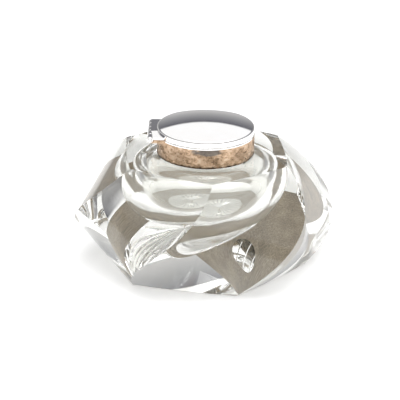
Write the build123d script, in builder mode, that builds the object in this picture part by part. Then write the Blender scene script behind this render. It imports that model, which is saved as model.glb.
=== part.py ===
from build123d import *
import os
from math import cos, radians, sin

os.makedirs("parts", exist_ok=True)

# A heavy cut-glass inkwell with a silver collar and a hinged silver lid.
# Millimetres. +Z is up, the foot stands on z = 0, the axis of the well is the Z axis, and the hinge is on the -X side.

# ---------------------------------------------------------------- driving dimensions: glass
SIDES = 6                    # curved facets round the body
LEAN = 20.35                 # degrees that every facet leans over sideways
FIRST_FACET = -140.88        # direction of one facet's own normal, degrees from +X
FACET_REACH = 56.54          # distance of a facet's furthest line from the axis
FACET_HEIGHT = 21.73         # position of that line, measured square to the facet's lean
FACET_FOCUS = 48.7           # the facet falls back from that line by (distance squared) / FACET_FOCUS
BODY_TOP = 52.7              # the flat hexagonal top that the collar stands on
NECK_RADIUS = 21.6
NECK_TOP = 61.9
NECK_BORE = 18.0
WELL_RADIUS = 34.4
WELL_FLOOR = 12.4
WELL_GIRDLE = 34.3           # height where the bowl is widest
WELL_TOP = 46.9              # height where its shoulder meets the bore
STAR_POINTS = 24
STAR_RADIUS = 22.0
STAR_DEPTH = 2.4

# ---------------------------------------------------------------- driving dimensions: silver mounts
COLLAR_RADIUS = 23.0
SHEET = 0.7                  # silver sheet thickness
BEARER_TOP = 62.6            # flat top of the collar, on which the lid shuts
MOUTH_RADIUS = 17.2
MOUTH_LINING = 5.0           # how far the bearer lines the mouth
LID_GAP = 0.1
LID_RADIUS = 23.1
LID_RIM_HEIGHT = 1.6
LID_RIM_WALL = 0.8
DOME_UPRIGHT = 1.55          # height at which the crown's curve would meet the side, above the rim
DOME_SHOULDER = 1.9          # fillet that rolls the side over into the crown
APEX_Z = 69.2
BEZEL_RADIUS = 16.9
BEZEL_DROP = 2.2

# ---------------------------------------------------------------- driving dimensions: hinge
HINGE_X = -26.0
HINGE_LENGTH = 24.5
KNUCKLES = 5
KNUCKLE_RADIUS = 1.5
KNUCKLE_GAP = 0.12
PIN_RADIUS = 0.55
PIN_HEAD_RADIUS = 1.0
PIN_HEAD = 0.5
FIXED_FIT = 0.01             # radial clearance of the pin in the collar's knuckles
RUNNING_FIT = 0.06           # radial clearance of the pin in the lid's knuckles
PLATE_THICKNESS = 1.5

LID_BOTTOM = BEARER_TOP + LID_GAP
LID_RIM_TOP = LID_BOTTOM + LID_RIM_HEIGHT
HINGE_Z = BEARER_TOP + LID_GAP / 2
HINGE_PLANE = Plane(origin=(HINGE_X, 0, HINGE_Z), x_dir=(1, 0, 0), z_dir=(0, 1, 0))


# ---------------------------------------------------------------- glass
def facet_cut(index):
    """Solid on the inner side of one curved facet: a parabola swept straight along the facet's leaning lines."""
    direction = radians(FIRST_FACET + index * 360 / SIDES)
    outward = Vector(cos(direction), sin(direction), 0)
    sideways = Vector(-sin(direction), cos(direction), 0)
    line = sideways * cos(radians(LEAN)) - Vector(0, 0, sin(radians(LEAN)))
    reach = 70
    fall = reach**2 / FACET_FOCUS
    high = (FACET_REACH - fall, FACET_HEIGHT + reach)
    low = (FACET_REACH - fall, FACET_HEIGHT - reach)
    with BuildPart() as cut:
        with BuildSketch(Plane(origin=(0, 0, 0), x_dir=outward, z_dir=-line)):
            with BuildLine():
                Bezier(low, (FACET_REACH + fall, FACET_HEIGHT), high)
                Polyline(high, (-100, high[1]), (-100, low[1]), low)
            make_face()
        extrude(amount=100, both=True)
    return cut.part


with BuildPart() as glass_body:
    with BuildSketch(Plane.XY):
        Circle(90)
    extrude(amount=BODY_TOP)
    for facet in range(SIDES):
        add(facet_cut(facet), mode=Mode.INTERSECT)
    with BuildSketch(Plane.XY.offset(BODY_TOP)):
        Circle(NECK_RADIUS)
    extrude(amount=NECK_TOP - BODY_TOP)
    # The ink well: half an ellipse below its widest height and a long shoulder drawn in to the bore above.
    with BuildSketch(Plane.XZ):
        with BuildLine():
            girdle = (WELL_RADIUS, WELL_GIRDLE)
            EllipticalCenterArc((0, WELL_GIRDLE), WELL_RADIUS, WELL_GIRDLE - WELL_FLOOR, start_angle=270, arc_size=90)
            Bezier(girdle, (WELL_RADIUS, WELL_TOP), (NECK_BORE, WELL_TOP))
            Polyline((NECK_BORE, WELL_TOP), (NECK_BORE, NECK_TOP), (0, NECK_TOP), (0, WELL_FLOOR))
        make_face()
    revolve(axis=Axis.Z, mode=Mode.SUBTRACT)
    # The star under the foot: mitred cuts, deepest at the centre and running out at their tips.
    for ray in PolarLocations(0, STAR_POINTS):
        cut_plane = Plane(ray * Location((0, 0, 0)))
        with BuildSketch(cut_plane * Plane(origin=(0, 0, 0), x_dir=(0, 1, 0), z_dir=(1, 0, 0))):
            Polygon((-STAR_DEPTH, 0), (STAR_DEPTH, 0), (0, STAR_DEPTH), align=None)
        with BuildSketch(cut_plane * Plane(origin=(STAR_RADIUS, 0, 0), x_dir=(0, 1, 0), z_dir=(1, 0, 0))):
            Polygon((-0.02, 0), (0.02, 0), (0, 0.02), align=None)
        loft(mode=Mode.SUBTRACT)
glass_body.part.label = "glass_body"
export_step(glass_body.part, "parts/glass_body.step")


# ---------------------------------------------------------------- collar
with BuildPart() as setting_plaster:
    with BuildSketch(Plane.XY.offset(BODY_TOP)):
        Circle(COLLAR_RADIUS - SHEET)
        Circle(NECK_RADIUS, mode=Mode.SUBTRACT)
    extrude(amount=NECK_TOP - BODY_TOP)
setting_plaster.part.label = "setting_plaster"
export_step(setting_plaster.part, "parts/setting_plaster.step")

with BuildPart() as collar_band:
    with BuildSketch(Plane.XY.offset(BODY_TOP)):
        Circle(COLLAR_RADIUS)
        Circle(COLLAR_RADIUS - SHEET, mode=Mode.SUBTRACT)
    extrude(amount=NECK_TOP - BODY_TOP)
    foot_edge = collar_band.edges().filter_by(GeomType.CIRCLE).group_by(Axis.Z)[0].sort_by(SortBy.RADIUS)[-1]
    fillet(foot_edge, SHEET * 0.4)
collar_band.part.label = "collar_band"
export_step(collar_band.part, "parts/collar_band.step")

# The bearer covers the glass lip, lines the mouth and gives the lid its flat seat.
with BuildPart() as mouth_bearer:
    with BuildSketch(Plane.XZ):
        with BuildLine():
            Polyline(
                (MOUTH_RADIUS, BEARER_TOP), (COLLAR_RADIUS, BEARER_TOP), (COLLAR_RADIUS, NECK_TOP),
                (MOUTH_RADIUS + SHEET, NECK_TOP), (MOUTH_RADIUS + SHEET, BEARER_TOP - MOUTH_LINING),
                (MOUTH_RADIUS, BEARER_TOP - MOUTH_LINING), close=True,
            )
        make_face()
    revolve(axis=Axis.Z)
    seat_edges = mouth_bearer.edges().filter_by(GeomType.CIRCLE).group_by(Axis.Z)[-1]
    fillet(seat_edges, SHEET * 0.3)
mouth_bearer.part.label = "mouth_bearer"
export_step(mouth_bearer.part, "parts/mouth_bearer.step")


# ---------------------------------------------------------------- hinge
def knuckle_span(index):
    """Start and end of one hinge knuckle along Y, counted from the front."""
    pitch = HINGE_LENGTH / KNUCKLES
    start = -HINGE_LENGTH / 2 + pitch * index
    return start + KNUCKLE_GAP / 2, start + pitch - KNUCKLE_GAP / 2


def hinge_plate(low, high, wall_radius, own_knuckles):
    """A flat tab from the round mount out to the barrel, cut back round the knuckles of the other half."""
    wall_x = -(wall_radius**2 - HINGE_LENGTH**2 / 4) ** 0.5
    with BuildPart() as plate:
        with BuildSketch(Plane.XY.offset(low)):
            with Locations(((HINGE_X + wall_x) / 2, 0)):
                Rectangle(wall_x - HINGE_X, HINGE_LENGTH - KNUCKLE_GAP)
            Circle(wall_radius, mode=Mode.SUBTRACT)
        extrude(amount=high - low)
        for index in range(KNUCKLES):
            start, end = knuckle_span(index)
            clearance = 0 if index in own_knuckles else KNUCKLE_GAP
            with BuildSketch(HINGE_PLANE.offset(start - KNUCKLE_GAP / 2)):
                Circle(KNUCKLE_RADIUS + clearance)
            extrude(amount=end - start + KNUCKLE_GAP, mode=Mode.SUBTRACT)
    return plate.part


COLLAR_KNUCKLES = {0: "collar_knuckle_front", 2: "collar_knuckle_middle", 4: "collar_knuckle_rear"}
LID_KNUCKLES = {1: "lid_knuckle_front", 3: "lid_knuckle_rear"}

with BuildPart() as collar_hinge_plate:
    add(hinge_plate(BEARER_TOP - PLATE_THICKNESS, BEARER_TOP, COLLAR_RADIUS, COLLAR_KNUCKLES))
collar_hinge_plate.part.label = "collar_hinge_plate"
export_step(collar_hinge_plate.part, "parts/collar_hinge_plate.step")

with BuildPart() as lid_hinge_plate:
    add(hinge_plate(LID_BOTTOM, LID_RIM_TOP, LID_RADIUS, LID_KNUCKLES))
lid_hinge_plate.part.label = "lid_hinge_plate"
export_step(lid_hinge_plate.part, "parts/lid_hinge_plate.step")

for knuckle_names, fit in ((COLLAR_KNUCKLES, FIXED_FIT), (LID_KNUCKLES, RUNNING_FIT)):
    for index, name in knuckle_names.items():
        start, end = knuckle_span(index)
        with BuildPart() as knuckle:
            with BuildSketch(HINGE_PLANE.offset(start)):
                Circle(KNUCKLE_RADIUS)
                Circle(PIN_RADIUS + fit, mode=Mode.SUBTRACT)
            extrude(amount=end - start)
        knuckle.part.label = name
        export_step(knuckle.part, f"parts/{name}.step")

with BuildPart() as hinge_pin:
    with BuildSketch(HINGE_PLANE.offset(-HINGE_LENGTH / 2)):
        Circle(PIN_RADIUS)
    extrude(amount=HINGE_LENGTH)
    for head_plane in (HINGE_PLANE.offset(-HINGE_LENGTH / 2 - PIN_HEAD), HINGE_PLANE.offset(HINGE_LENGTH / 2)):
        with BuildSketch(head_plane):
            Circle(PIN_HEAD_RADIUS)
        extrude(amount=PIN_HEAD)
    end_edges = hinge_pin.edges().filter_by(GeomType.CIRCLE).group_by(Axis.Y)
    fillet(end_edges[0] + end_edges[-1], PIN_HEAD * 0.8)
hinge_pin.part.label = "hinge_pin"
export_step(hinge_pin.part, "parts/hinge_pin.step")

# ---------------------------------------------------------------- lid
with BuildPart() as lid_rim:
    with BuildSketch(Plane.XY.offset(LID_BOTTOM)):
        Circle(LID_RADIUS)
        Circle(LID_RADIUS - LID_RIM_WALL, mode=Mode.SUBTRACT)
    extrude(amount=LID_RIM_HEIGHT)
    outer_edges = lid_rim.edges().filter_by(GeomType.CIRCLE).group_by(SortBy.RADIUS)[-1]
    fillet(outer_edges, SHEET * 0.3)
lid_rim.part.label = "lid_rim"
export_step(lid_rim.part, "parts/lid_rim.step")

# The dome is one sheet standing on the rim: its side rolls over a full shoulder into a low crown.
with BuildPart() as lid_dome:
    with BuildSketch(Plane.XZ):
        with BuildLine():
            crown_edge = (LID_RADIUS, LID_RIM_TOP + DOME_UPRIGHT)
            crown_rise = APEX_Z - crown_edge[1]
            crown_radius = (LID_RADIUS**2 + crown_rise**2) / (2 * crown_rise)
            Polyline((0, APEX_Z), (0, LID_RIM_TOP), (LID_RADIUS, LID_RIM_TOP), crown_edge)
            RadiusArc(crown_edge, (0, APEX_Z), -crown_radius)
        make_face()
    revolve(axis=Axis.Z)
    shoulder_edge = lid_dome.edges().filter_by(lambda edge: edge.is_closed).sort_by(Axis.Z)[-1]
    fillet(shoulder_edge, DOME_SHOULDER)
    offset(amount=-SHEET, openings=lid_dome.faces().sort_by(Axis.Z)[0])
lid_dome.part.label = "lid_dome"
export_step(lid_dome.part, "parts/lid_dome.step")

with BuildPart() as lid_lining:
    with BuildSketch(Plane.XY.offset(LID_BOTTOM)):
        Circle(LID_RADIUS - LID_RIM_WALL)
    extrude(amount=SHEET)
lid_lining.part.label = "lid_lining"
export_step(lid_lining.part, "parts/lid_lining.step")

# The bezel drops into the mouth and keeps the shut lid centred.
with BuildPart() as lid_bezel:
    with BuildSketch(Plane.XY.offset(LID_BOTTOM - BEZEL_DROP)):
        Circle(BEZEL_RADIUS)
        Circle(BEZEL_RADIUS - SHEET, mode=Mode.SUBTRACT)
    extrude(amount=BEZEL_DROP)
    tip_edge = lid_bezel.edges().filter_by(GeomType.CIRCLE).group_by(Axis.Z)[0].sort_by(SortBy.RADIUS)[-1]
    chamfer(tip_edge, SHEET * 0.4)
lid_bezel.part.label = "lid_bezel"
export_step(lid_bezel.part, "parts/lid_bezel.step")
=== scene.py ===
import math

import bpy
import numpy as np
from mathutils import Matrix, Vector


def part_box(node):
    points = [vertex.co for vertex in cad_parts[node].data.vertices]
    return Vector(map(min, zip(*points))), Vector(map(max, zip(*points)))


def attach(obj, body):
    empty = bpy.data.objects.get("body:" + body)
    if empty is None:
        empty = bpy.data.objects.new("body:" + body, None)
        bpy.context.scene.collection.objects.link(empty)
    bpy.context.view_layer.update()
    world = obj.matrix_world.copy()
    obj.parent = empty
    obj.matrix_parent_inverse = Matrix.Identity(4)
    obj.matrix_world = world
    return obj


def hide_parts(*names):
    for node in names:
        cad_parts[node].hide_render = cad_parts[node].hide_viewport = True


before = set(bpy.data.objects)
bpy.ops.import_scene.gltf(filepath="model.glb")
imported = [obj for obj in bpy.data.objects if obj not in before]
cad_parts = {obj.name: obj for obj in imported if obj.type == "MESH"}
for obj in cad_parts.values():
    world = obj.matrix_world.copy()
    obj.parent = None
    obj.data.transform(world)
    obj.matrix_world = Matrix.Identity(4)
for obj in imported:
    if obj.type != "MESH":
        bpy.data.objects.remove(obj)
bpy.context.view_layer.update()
MM = 0.001

# ---------------------------------------------------------------- dimensions, millimetres
SIDES = 6
LEAN = math.radians(20.35)
FIRST_FACET = math.radians(-140.88)
FACET_REACH = 56.54
FACET_HEIGHT = 21.73
FACET_FOCUS = 48.7
GLASS_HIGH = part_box("glass_body")[1] / MM
COLLAR_LOW, COLLAR_HIGH = (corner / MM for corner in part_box("collar_band"))
RIM_LOW, RIM_HIGH = (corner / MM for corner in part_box("lid_rim"))
DOME_LOW, DOME_HIGH = (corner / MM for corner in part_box("lid_dome"))
BODY_TOP = COLLAR_LOW.z
NECK_TOP = GLASS_HIGH.z
NECK_RADIUS = 21.6
NECK_BORE = 18.0
WELL_RADIUS = 34.4
WELL_FLOOR = 12.4
WELL_GIRDLE = 34.3
WELL_TOP = 46.9
STAR_POINTS = 24
STAR_RADIUS = 22.0
STAR_DEPTH = 2.4
FACET_STEPS = 72
HEIGHT_STEPS = 220


# ---------------------------------------------------------------- mesh helpers
def make_object(name, vertices, faces, body, material, nodes, smooth=True, sharp_angle=None):
    """A mesh object that rides on a body and stands for CAD nodes. Vertices are in millimetres."""
    mesh = bpy.data.meshes.new(name)
    mesh.from_pydata([tuple(c * MM for c in v) for v in vertices], [], faces)
    mesh.update()
    mesh.polygons.foreach_set("use_smooth", [smooth] * len(mesh.polygons))
    if sharp_angle:
        mesh.set_sharp_from_angle(angle=math.radians(sharp_angle))
    mesh.materials.append(material)
    piece = bpy.data.objects.new(name, mesh)
    bpy.context.scene.collection.objects.link(piece)
    if body:
        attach(piece, body)
    for node in nodes:
        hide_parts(node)
    return piece


def finish_node(node, material):
    """Gives a CAD node that shows as it is its own material."""
    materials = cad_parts[node].data.materials
    materials.clear()
    materials.append(material)


def lathe_mesh(profile, segments, closed=True):
    """Vertices and faces of a (radius, height) profile turned about Z. A closed one is a ring."""
    count = len(profile)
    angles = [2 * math.pi * j / segments for j in range(segments)]
    vertices = [(r * math.cos(a), r * math.sin(a), z) for r, z in profile for a in angles]
    faces = []
    for i in range(count if closed else count - 1):
        low, high = i * segments, ((i + 1) % count) * segments
        for j in range(segments):
            k = (j + 1) % segments
            faces.append((low + j, low + k, high + k, high + j))
    return vertices, faces


def rounded(corners, radius, steps=5):
    """A closed outline with every corner rounded. A corner is (x, y) or (x, y, its own radius)."""
    outline = []
    count = len(corners)
    for i, corner in enumerate(corners):
        point = np.array(corner[:2], float)
        size = corner[2] if len(corner) > 2 else radius
        before = np.array(corners[i - 1][:2], float) - point
        after = np.array(corners[(i + 1) % count][:2], float) - point
        start = point + before / np.linalg.norm(before) * size
        end = point + after / np.linalg.norm(after) * size
        for step in range(steps + 1):
            t = step / steps
            outline.append(tuple((1 - t) ** 2 * start + 2 * t * (1 - t) * point + t**2 * end))
    return outline


# ---------------------------------------------------------------- materials
def new_material(name):
    material = bpy.data.materials.new(name)
    material.use_nodes = True
    tree = material.node_tree
    return material, tree, tree.nodes["Principled BSDF"]


def noise(tree, scale, detail=4.0, stretch=(1, 1, 1), roughness=0.55, distortion=0.0):
    """A noise texture on object coordinates."""
    coordinates = tree.nodes.new("ShaderNodeTexCoord")
    mapping = tree.nodes.new("ShaderNodeMapping")
    mapping.inputs["Scale"].default_value = stretch
    texture = tree.nodes.new("ShaderNodeTexNoise")
    texture.inputs["Scale"].default_value = scale
    texture.inputs["Detail"].default_value = detail
    texture.inputs["Roughness"].default_value = roughness
    texture.inputs["Distortion"].default_value = distortion
    tree.links.new(coordinates.outputs["Object"], mapping.inputs["Vector"])
    tree.links.new(mapping.outputs["Vector"], texture.inputs["Vector"])
    return texture.outputs["Fac"]


def ramp(tree, factor, stops):
    """A colour ramp over a factor. Stops are (position, colour)."""
    node = tree.nodes.new("ShaderNodeValToRGB")
    elements = node.color_ramp.elements
    while len(elements) < len(stops):
        elements.new(0.5)
    for element, (position, colour) in zip(elements, stops):
        element.position = position
        element.color = (*colour, 1)
    tree.links.new(factor, node.inputs["Fac"])
    return node.outputs["Color"]


def grey(value):
    return (value, value, value)


def mix(tree, factor, first, second, blend="MIX"):
    node = tree.nodes.new("ShaderNodeMix")
    node.data_type = "RGBA"
    node.blend_type = blend
    if isinstance(factor, (int, float)):
        node.inputs["Factor"].default_value = factor
    else:
        tree.links.new(factor, node.inputs["Factor"])
    tree.links.new(first, node.inputs["A"])
    tree.links.new(second, node.inputs["B"])
    return node.outputs["Result"]


def bump(tree, shader, height, distance, strength=1.0):
    node = tree.nodes.new("ShaderNodeBump")
    node.inputs["Distance"].default_value = distance
    node.inputs["Strength"].default_value = strength
    tree.links.new(height, node.inputs["Height"])
    tree.links.new(node.outputs["Normal"], shader.inputs["Normal"])


def glass_material():
    """Old lead glass: clear, faintly grey-green, with a trace of surface haze."""
    material, tree, shader = new_material("cut_glass")
    shader.inputs["Transmission Weight"].default_value = 1.0
    shader.inputs["IOR"].default_value = 1.52
    tint = ramp(tree, noise(tree, 14, 2), [(0.3, (0.966, 0.972, 0.938)), (0.7, (0.986, 0.988, 0.966))])
    tree.links.new(tint, shader.inputs["Base Color"])
    haze = ramp(tree, noise(tree, 60, 4), [(0.45, grey(0.0)), (0.9, grey(0.02))])
    tree.links.new(haze, shader.inputs["Roughness"])
    return material


def well_material():
    """The inside of the well: the same glass, left slightly milky by ink and washing."""
    material = glass_material()
    material.name = "milky_well"
    shader = material.node_tree.nodes["Principled BSDF"]
    shader.inputs["Transmission Weight"].default_value = 0.74
    return material


def ground_foot_and_painted_reflection_material():
    """The foot's ground and worn bearing face with years of fine scratches; its grey-brown tone is partly
    a painted reflection of a brown room.
    """
    material, tree, shader = new_material("ground_foot_painted_reflection")
    # Scratch grain on the ground face; the brown in it and the patches over it are painted reflection of
    # a brown room.
    scratches_and_painted_reflection_tone = ramp(
        tree, noise(tree, 1500, 6, roughness=0.8),
        [(0.36, (0.13, 0.095, 0.05)), (0.5, (0.34, 0.27, 0.17)), (0.64, (0.58, 0.48, 0.335))],
    )
    painted_reflection_patch = ramp(tree, noise(tree, 130, 4), [(0.35, (0.62, 0.60, 0.56)), (0.65, grey(1.0))])
    tree.links.new(mix(tree, 1.0, scratches_and_painted_reflection_tone, painted_reflection_patch, "MULTIPLY"), shader.inputs["Base Color"])
    shader.inputs["Roughness"].default_value = 0.5
    shader.inputs["IOR"].default_value = 1.52
    shader.inputs["Transmission Weight"].default_value = 0.1
    return material


def plaster_material():
    material, tree, shader = new_material("plaster")
    colour = ramp(tree, noise(tree, 320, 6), [(0.3, (0.52, 0.46, 0.37)), (0.65, (0.80, 0.76, 0.68))])
    tree.links.new(colour, shader.inputs["Base Color"])
    shader.inputs["Roughness"].default_value = 0.85
    bump(tree, shader, noise(tree, 900, 4), 0.0001)
    return material


def silver_material(name, tone=(0.93, 0.93, 0.94)):
    """Polished silver with hairlines and a faint warm bloom."""
    material, tree, shader = new_material(name)
    shader.inputs["Metallic"].default_value = 1.0
    warm = tuple(c * k for c, k in zip(tone, (0.97, 0.95, 0.92)))
    bloom = ramp(tree, noise(tree, 55, 4), [(0.35, tone), (0.75, warm)])
    tree.links.new(bloom, shader.inputs["Base Color"])
    fine = ramp(tree, noise(tree, 260, 6, (1, 5, 1)), [(0.35, grey(0.035)), (0.75, grey(0.10))])
    tree.links.new(fine, shader.inputs["Roughness"])
    return material


def tarnish_material():
    """Silver gone coppery brown, mottled, rubbed brighter in patches and darkest along the lower edge,
    with a painted dark reflection on the front.
    """
    material, tree, shader = new_material("tarnished_silver")
    shader.inputs["Metallic"].default_value = 0.85
    mottle = ramp(
        tree, noise(tree, 420, 8, (1, 1, 1.5), 0.72, 0.4),
        [
            (0.30, (0.12, 0.085, 0.06)), (0.42, (0.36, 0.24, 0.15)),
            (0.52, (0.66, 0.46, 0.31)), (0.68, (0.80, 0.66, 0.52)),
        ],
    )
    coordinates = tree.nodes.new("ShaderNodeTexCoord")
    split = tree.nodes.new("ShaderNodeSeparateXYZ")
    tree.links.new(coordinates.outputs["Object"], split.inputs["Vector"])
    height = tree.nodes.new("ShaderNodeMapRange")
    height.inputs["From Min"].default_value = COLLAR_LOW.z * MM
    height.inputs["From Max"].default_value = COLLAR_HIGH.z * MM
    tree.links.new(split.outputs["Z"], height.inputs["Value"])
    ragged = tree.nodes.new("ShaderNodeMath")
    ragged.operation = "MULTIPLY_ADD"
    tree.links.new(noise(tree, 400, 5), ragged.inputs[0])
    ragged.inputs[1].default_value = 0.35
    tree.links.new(height.outputs["Result"], ragged.inputs[2])
    edge_stops = [(0.20, (0.10, 0.08, 0.07)), (0.32, grey(1.0)), (1.0, grey(1.0))]
    edge = ramp(tree, ragged.outputs[0], edge_stops)
    # A painted dark reflection on the front of the collar, just under its upper edge: a ragged grey patch
    # in the colour that stands for a reflection.
    painted_reflection_place = tree.nodes.new("ShaderNodeMapping")
    painted_reflection_place.vector_type = "TEXTURE"
    painted_reflection_place.inputs["Location"].default_value = (0.0005, -0.0230, 0.0608)
    painted_reflection_place.inputs["Scale"].default_value = (0.0085, 0.006, 0.0022)
    tree.links.new(coordinates.outputs["Object"], painted_reflection_place.inputs["Vector"])
    painted_reflection_shape = tree.nodes.new("ShaderNodeTexGradient")
    painted_reflection_shape.gradient_type = "SPHERICAL"
    tree.links.new(painted_reflection_place.outputs["Vector"], painted_reflection_shape.inputs["Vector"])
    ragged_painted_reflection = tree.nodes.new("ShaderNodeMath")
    ragged_painted_reflection.operation = "MULTIPLY"
    tree.links.new(painted_reflection_shape.outputs["Fac"], ragged_painted_reflection.inputs[0])
    broken_painted_reflection = ramp(tree, noise(tree, 420, 6), [(0.3, grey(0.4)), (0.6, grey(1.6))])
    tree.links.new(broken_painted_reflection, ragged_painted_reflection.inputs[1])
    painted_reflection_patch = ramp(tree, ragged_painted_reflection.outputs[0], [(0.05, grey(0.0)), (0.40, grey(0.85))])
    painted_reflection_grey = ramp(tree, noise(tree, 300, 5), [(0.3, (0.07, 0.07, 0.07)), (0.7, (0.20, 0.19, 0.18))])
    # Tarnish colour, with the painted dark reflection mixed in over the front patch.
    patina_and_painted_reflection = mix(tree, painted_reflection_patch, mix(tree, 1.0, mottle, edge, "MULTIPLY"), painted_reflection_grey)
    tree.links.new(patina_and_painted_reflection, shader.inputs["Base Color"])
    rough = ramp(tree, noise(tree, 500, 5), [(0.3, grey(0.24)), (0.7, grey(0.42))])
    tree.links.new(rough, shader.inputs["Roughness"])
    bump(tree, shader, noise(tree, 700, 5), 0.00006)
    return material


def gilt_material():
    material, tree, shader = new_material("gilt_lining")
    shader.inputs["Metallic"].default_value = 1.0
    tone = ramp(tree, noise(tree, 120, 5), [(0.35, (0.72, 0.52, 0.24)), (0.7, (0.93, 0.76, 0.42))])
    tree.links.new(tone, shader.inputs["Base Color"])
    rough = ramp(tree, noise(tree, 300, 5), [(0.3, grey(0.14)), (0.7, grey(0.30))])
    tree.links.new(rough, shader.inputs["Roughness"])
    return material


GLASS = glass_material()
MILKY = well_material()
GROUND_FOOT_AND_PAINTED_REFLECTION = ground_foot_and_painted_reflection_material()
PLASTER = plaster_material()
SILVER = silver_material("polished_silver")
TARNISH = tarnish_material()
GILT = gilt_material()


# ---------------------------------------------------------------- glass body
def facet_distance(m):
    """Distance of a curved facet from the axis along its normal, at position m square to its lean."""
    return FACET_REACH - (m - FACET_HEIGHT) ** 2 / FACET_FOCUS


def facet_span(z):
    """Sideways positions of a facet's two ridges at height z, found by halving."""
    lean_sin, lean_cos = math.sin(LEAN), math.cos(LEAN)
    corner_cos, corner_sin = math.cos(2 * math.pi / SIDES), math.sin(2 * math.pi / SIDES)
    low, high = 0.0, 70.0
    for _ in range(50):
        t = (low + high) / 2
        n = facet_distance(lean_sin * t + lean_cos * z)
        next_n = n * corner_cos + t * corner_sin
        next_t = t * corner_cos - n * corner_sin
        if next_n > facet_distance(lean_sin * next_t + lean_cos * z):
            high = t
        else:
            low = t
    return t * corner_cos - n * corner_sin, t


def body_ring(z):
    """One level section of the body: SIDES curved facets of FACET_STEPS points each."""
    start, end = facet_span(z)
    points = []
    for side in range(SIDES):
        a = FIRST_FACET + side * 2 * math.pi / SIDES
        for step in range(FACET_STEPS):
            t = start + (end - start) * step / FACET_STEPS
            n = facet_distance(math.sin(LEAN) * t + math.cos(LEAN) * z)
            points.append((n * math.cos(a) - t * math.sin(a), n * math.sin(a) + t * math.cos(a), z))
    return points


def star_depth(x, y):
    """How far the star under the foot is cut in at a point."""
    radius = math.hypot(x, y)
    pitch = 2 * math.pi / STAR_POINTS
    off = abs((math.atan2(y, x) + pitch / 2) % pitch - pitch / 2) * radius
    return max(0.0, STAR_DEPTH * (1 - radius / STAR_RADIUS) - off)


def well_profile():
    """(radius, height) down the inside: drawn-in shoulder, then an ellipse to the floor's middle."""
    points = []
    for step in range(41):
        t = step / 40
        radius = (1 - t) ** 2 * NECK_BORE + (1 - (1 - t) ** 2) * WELL_RADIUS
        points.append((radius, WELL_TOP - (WELL_TOP - WELL_GIRDLE) * t**2))
    for step in range(1, 72):
        a = math.pi / 2 * step / 72
        points.append((WELL_RADIUS * math.cos(a), WELL_GIRDLE - (WELL_GIRDLE - WELL_FLOOR) * math.sin(a)))
    return points


def build_glass():
    count = SIDES * FACET_STEPS
    foot = body_ring(0.0)
    rings = []
    star_steps = 14
    for i in range(1, star_steps + 1):
        size = STAR_RADIUS * i / star_steps
        ring = []
        for x, y, _ in foot:
            k = size / math.hypot(x, y)
            ring.append((x * k, y * k, star_depth(x * k, y * k)))
        rings.append(ring)
    for i in range(1, 5):
        ring = []
        for x, y, _ in foot:
            k = STAR_RADIUS / math.hypot(x, y)
            k += (1 - k) * i / 4
            ring.append((x * k, y * k, 0.0))
        rings.append(ring)
    foot_ring = len(rings) - 1
    for i in range(1, HEIGHT_STEPS + 1):
        rings.append(body_ring(BODY_TOP * i / HEIGHT_STEPS))
    top_ring = len(rings) - 1
    top = rings[-1]
    angles = [math.atan2(y, x) for x, y, _ in top]
    for i in range(1, 4):
        ring = []
        for x, y, z in top:
            k = NECK_RADIUS / math.hypot(x, y)
            k = 1 + (k - 1) * i / 4
            ring.append((x * k, y * k, z))
        rings.append(ring)
    sharp_rings = {foot_ring, top_ring}
    turned = [(NECK_RADIUS, BODY_TOP), (NECK_RADIUS, NECK_TOP), (NECK_BORE, NECK_TOP)]
    for i, (r, z) in enumerate(turned + well_profile()):
        rings.append([(r * math.cos(a), r * math.sin(a), z) for a in angles])
        if i < len(turned):
            sharp_rings.add(len(rings) - 1)
            well_ring = len(rings)
    last_ring = len(rings) - 1
    vertices = [(0.0, 0.0, STAR_DEPTH)] + [v for ring in rings for v in ring] + [(0.0, 0.0, WELL_FLOOR)]
    last = len(vertices) - 1
    faces, foot_faces, well_faces = [], [], []
    for j in range(count):
        faces.append((0, 1 + (j + 1) % count, 1 + j))
    for i in range(last_ring):
        for j in range(count):
            k = (j + 1) % count
            if star_steps - 1 <= i < foot_ring:
                foot_faces.append(len(faces))
            if i >= well_ring:
                well_faces.append(len(faces))
            low, high = 1 + i * count, 1 + (i + 1) * count
            faces.append((low + j, low + k, high + k, high + j))
    for j in range(count):
        well_faces.append(len(faces))
        faces.append((last, 1 + last_ring * count + j, 1 + last_ring * count + (j + 1) % count))
    piece = make_object("glass_body.cut", vertices, faces, "base", GLASS, ["glass_body"])
    mesh = piece.data
    for slot_index, (material, own_faces) in enumerate(((GROUND_FOOT_AND_PAINTED_REFLECTION, foot_faces), (MILKY, well_faces)), 1):
        mesh.materials.append(material)
        for index in own_faces:
            mesh.polygons[index].material_index = slot_index
    ends = np.zeros(len(mesh.edges) * 2, int)
    mesh.edges.foreach_get("vertices", ends)
    first, second = ends.reshape(-1, 2).T
    ring_a, step_a = np.divmod(first - 1, count)
    ring_b, step_b = np.divmod(second - 1, count)
    sharp = np.isin(ring_a, list(sharp_rings)) & (ring_a == ring_b)
    on_ridge = (step_a == step_b) & (step_a % FACET_STEPS == 0)
    inner_ring, outer_ring = np.minimum(ring_a, ring_b), np.maximum(ring_a, ring_b)
    sharp |= on_ridge & (inner_ring >= foot_ring) & (outer_ring <= top_ring)
    sharp |= outer_ring < star_steps
    sharp |= (first == 0) | (second == 0)
    attribute = mesh.attributes.get("sharp_edge") or mesh.attributes.new("sharp_edge", "BOOLEAN", "EDGE")
    attribute.data.foreach_set("value", sharp)
    mesh.update()
    return piece


build_glass()

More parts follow.
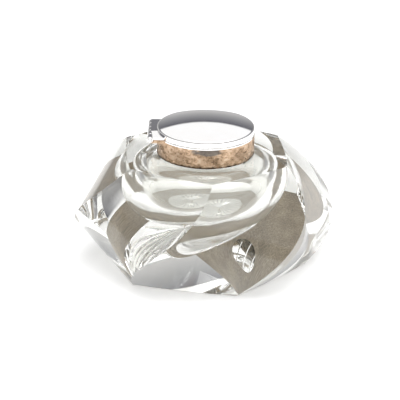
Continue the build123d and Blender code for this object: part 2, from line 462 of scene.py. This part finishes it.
# ---------------------------------------------------------------- collar and mouth
SEGMENTS = 256
collar_radius = COLLAR_HIGH.x
sheet = 0.7
collar_section = rounded(
    [
        (collar_radius - sheet, COLLAR_LOW.z), (collar_radius, COLLAR_LOW.z, 0.3),
        (collar_radius, COLLAR_HIGH.z, 0.02), (collar_radius - sheet, COLLAR_HIGH.z, 0.02),
    ],
    0.05,
)
vertices, faces = lathe_mesh(collar_section, SEGMENTS)
make_object(
    "collar_band.silver", vertices, faces, "base", TARNISH, ["collar_band"],
    sharp_angle=35,
)

finish_node("setting_plaster", PLASTER)
finish_node("mouth_bearer", SILVER)
finish_node("lid_lining", GILT)
finish_node("lid_bezel", GILT)

# ---------------------------------------------------------------- lid
rim_radius = RIM_HIGH.x
dome_radius = DOME_HIGH.x
rim_section = rounded(
    [
        (rim_radius - 0.8, RIM_LOW.z), (rim_radius, RIM_LOW.z, 0.28),
        (rim_radius, RIM_HIGH.z, 0.03), (rim_radius - 0.8, RIM_HIGH.z, 0.03),
    ],
    0.1,
)
vertices, faces = lathe_mesh(rim_section, SEGMENTS)
make_object("lid_rim.silver", vertices, faces, "lid", SILVER, ["lid_rim"], True, 35)

DOME_UPRIGHT = 1.55
DOME_SHOULDER = 1.2
edge_z = DOME_LOW.z + DOME_UPRIGHT
crown_rise = DOME_HIGH.z - edge_z
crown_radius = (dome_radius**2 + crown_rise**2) / (2 * crown_rise)
crown_centre = DOME_HIGH.z - crown_radius
shoulder_x = dome_radius - DOME_SHOULDER
shoulder_z = crown_centre + math.sqrt((crown_radius - DOME_SHOULDER) ** 2 - shoulder_x**2)
edge_angle = math.asin(shoulder_x / (crown_radius - DOME_SHOULDER))
dome_profile = [(dome_radius, DOME_LOW.z + 0.01)]
for step in range(33):
    a = (math.pi / 2 - edge_angle) * step / 32
    across, along = DOME_SHOULDER * math.cos(a), DOME_SHOULDER * math.sin(a)
    dome_profile.append((shoulder_x + across, shoulder_z + along))
for step in range(1, 80):
    a = edge_angle * (1 - step / 80)
    dome_profile.append((crown_radius * math.sin(a), crown_centre + crown_radius * math.cos(a)))
dome_profile.append((0.02, DOME_HIGH.z - 0.0005))
vertices, faces = lathe_mesh(dome_profile, SEGMENTS, closed=False)
make_object("lid_dome.silver", vertices, faces, "lid", SILVER, ["lid_dome"], True, 60)

# ---------------------------------------------------------------- hinge
hinge_nodes = {
    "base": ["collar_knuckle_front", "collar_knuckle_middle", "collar_knuckle_rear"],
    "lid": ["lid_knuckle_front", "lid_knuckle_rear"],
}
for body, nodes in hinge_nodes.items():
    for node in nodes:
        low, high = (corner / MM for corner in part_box(node))
        radius = (high.x - low.x) / 2
        corners = [(0.6, low.y), (radius, low.y, 0.18), (radius, high.y, 0.18), (0.6, high.y)]
        section = rounded(corners, 0.03)
        turned, faces = lathe_mesh(section, 96)
        centre = Vector(((low.x + high.x) / 2, 0, (low.z + high.z) / 2))
        vertices = [(centre.x + x, z, centre.z - y) for x, y, z in turned]
        make_object(node + ".silver", vertices, faces, body, SILVER, [node], True, 35)

KNUCKLE_ROOM = 1.6
TAB_DRESSING = math.tan(math.radians(3.6))
DRESSED_FROM = -2.5
DRESSED_EASE = 1.5
tab_low, tab_high = (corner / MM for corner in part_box("lid_hinge_plate"))
pin_x = tab_low.x
pin_z = (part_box("hinge_pin")[0].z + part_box("hinge_pin")[1].z) / 2 / MM


def tab_top(y):
    """Height of the tab's top, level at the rear and dressed down towards its front end."""
    past = max(0.0, DRESSED_FROM - y)
    run = past**2 / (2 * DRESSED_EASE) if past < DRESSED_EASE else past - DRESSED_EASE / 2
    return tab_high.z - TAB_DRESSING * run


def tab_section(y):
    """(x, height) round the tab: up along the barrel, over the top and down beside the rim."""
    top = tab_top(y)
    wall_x = -math.sqrt(rim_radius**2 - y**2)
    low_angle = math.asin((tab_low.z - pin_z) / KNUCKLE_ROOM)
    high_angle = math.asin(min(1.0, (top - pin_z) / KNUCKLE_ROOM))
    section = []
    for step in range(13):
        a = low_angle + (high_angle - low_angle) * step / 12
        section.append((pin_x + KNUCKLE_ROOM * math.cos(a), pin_z + KNUCKLE_ROOM * math.sin(a)))
    left = section[-1][0]
    section.append((left, max(top - 0.05, section[-1][1] + 0.01) if left < pin_x + 0.01 else top))
    section += [(left + 0.06, top), (wall_x, top), (wall_x, tab_low.z)]
    return section


TAB_STEPS = 80
sections = []
for i in range(TAB_STEPS + 1):
    y = tab_low.y + (tab_high.y - tab_low.y) * i / TAB_STEPS
    sections.append([(x, y, z) for x, z in tab_section(y)])
points = len(sections[0])
vertices = [v for section in sections for v in section]
faces = [tuple(range(points)), tuple(reversed(range(TAB_STEPS * points, (TAB_STEPS + 1) * points)))]
for i in range(TAB_STEPS):
    for j in range(points):
        k = (j + 1) % points
        faces.append((i * points + k, i * points + j, (i + 1) * points + j, (i + 1) * points + k))
make_object(
    "lid_hinge_plate.silver", vertices, faces, "lid", SILVER, ["lid_hinge_plate"],
    sharp_angle=30,
)

finish_node("collar_hinge_plate", TARNISH)
finish_node("hinge_pin", SILVER)

# ---------------------------------------------------------------- stage
floor_mesh = bpy.data.meshes.new("floor")
FLOOR_REACH = 3.0
FLOOR_GAP = 0.0002
FLOOR_GLOW = 0.22
floor_corners = [(x * FLOOR_REACH, y * FLOOR_REACH, 0) for x, y in ((-1, -1), (1, -1), (1, 1), (-1, 1))]
floor_mesh.from_pydata(floor_corners, [], [(0, 1, 2, 3)])
floor_material, floor_tree, floor_shader = new_material("white_table")
paper = ramp(floor_tree, noise(floor_tree, 6, 3), [(0.3, grey(0.89)), (0.7, grey(0.91))])
from_middle = floor_tree.nodes.new("ShaderNodeVectorMath")
from_middle.operation = "LENGTH"
floor_place = floor_tree.nodes.new("ShaderNodeTexCoord")
floor_tree.links.new(floor_place.outputs["Object"], from_middle.inputs[0])
fall_off = ramp(floor_tree, from_middle.outputs["Value"], [(0.46, grey(1.0)), (0.78, grey(0.42))])
lit_paper = mix(floor_tree, 1.0, paper, fall_off, "MULTIPLY")
floor_tree.links.new(lit_paper, floor_shader.inputs["Base Color"])
floor_tree.links.new(lit_paper, floor_shader.inputs["Emission Color"])
floor_shader.inputs["Roughness"].default_value = 0.6
floor_shader.inputs["Emission Strength"].default_value = FLOOR_GLOW
floor_mesh.materials.append(floor_material)
floor = bpy.data.objects.new("floor", floor_mesh)
floor.location.z = -FLOOR_GAP
bpy.context.scene.collection.objects.link(floor)

world = bpy.data.worlds.new("studio")
bpy.context.scene.world = world
world.use_nodes = True
tree = world.node_tree
background = tree.nodes["Background"]
direction = tree.nodes.new("ShaderNodeTexCoord")
parts = tree.nodes.new("ShaderNodeSeparateXYZ")
tree.links.new(direction.outputs["Generated"], parts.inputs["Vector"])
SIN = {degrees: math.sin(math.radians(degrees)) for degrees in (10, 18, 23, 24, 25, 27)}
rear = ramp(
    tree, parts.outputs["Z"],
    [
        (0.0, (0.56, 0.55, 0.55)), (SIN[10], (0.38, 0.38, 0.385)), (SIN[23], (0.17, 0.17, 0.19)),
        (SIN[25], (0.11, 0.11, 0.125)), (SIN[27], grey(1.08)), (1.0, grey(1.08)),
    ],
)
front = ramp(
    tree, parts.outputs["Z"],
    [(0.0, (0.30, 0.29, 0.28)), (SIN[18], (0.22, 0.21, 0.20)), (SIN[24], grey(1.0)), (1.0, grey(1.0))],
)
facing = tree.nodes.new("ShaderNodeMapRange")
facing.inputs["From Min"].default_value = 0.1
facing.inputs["From Max"].default_value = -0.3
tree.links.new(parts.outputs["Y"], facing.inputs["Value"])
sky = mix(tree, facing.outputs["Result"], rear, front)
tree.links.new(sky, background.inputs["Color"])
background.inputs["Strength"].default_value = 1.0

key = bpy.data.lights.new("key", "AREA")
key.energy = 12
key.shape = "SQUARE"
key.size = 1.2
key_object = bpy.data.objects.new("key", key)
key_object.location = (0.2, -0.2, 1.2)
bpy.context.scene.collection.objects.link(key_object)

# ---------------------------------------------------------------- camera
ELEVATION = math.radians(22.66)
DISTANCE = 0.8177
LENS = 153.522
SENSOR = 36
AIM_HEIGHT = 0.030
AIM_LEFT, AIM_DOWN = 0.0023249, 0.0021284
ROLL = math.radians(-0.76)
camera = bpy.data.cameras.new("camera")
camera.lens = LENS
camera.sensor_width = SENSOR
camera.clip_start = 0.01
camera_object = bpy.data.objects.new("camera", camera)
bpy.context.scene.collection.objects.link(camera_object)
back = Vector((0, -math.cos(ELEVATION), math.sin(ELEVATION)))
up = Vector((0, math.sin(ELEVATION), math.cos(ELEVATION)))
right = Vector((1, 0, 0))
target = Vector((0, 0, AIM_HEIGHT)) - right * AIM_LEFT - up * AIM_DOWN
rolled_right = right * math.cos(ROLL) - up * math.sin(ROLL)
rolled_up = up * math.cos(ROLL) + right * math.sin(ROLL)
axes = Matrix((rolled_right, rolled_up, back)).transposed().to_4x4()
camera_object.matrix_world = Matrix.Translation(target + back * DISTANCE) @ axes
bpy.context.scene.camera = camera_object

scene = bpy.context.scene
scene.view_settings.view_transform = "Standard"
scene.cycles.max_bounces = 32
scene.cycles.transmission_bounces = 32
scene.cycles.glossy_bounces = 12
scene.cycles.diffuse_bounces = 6
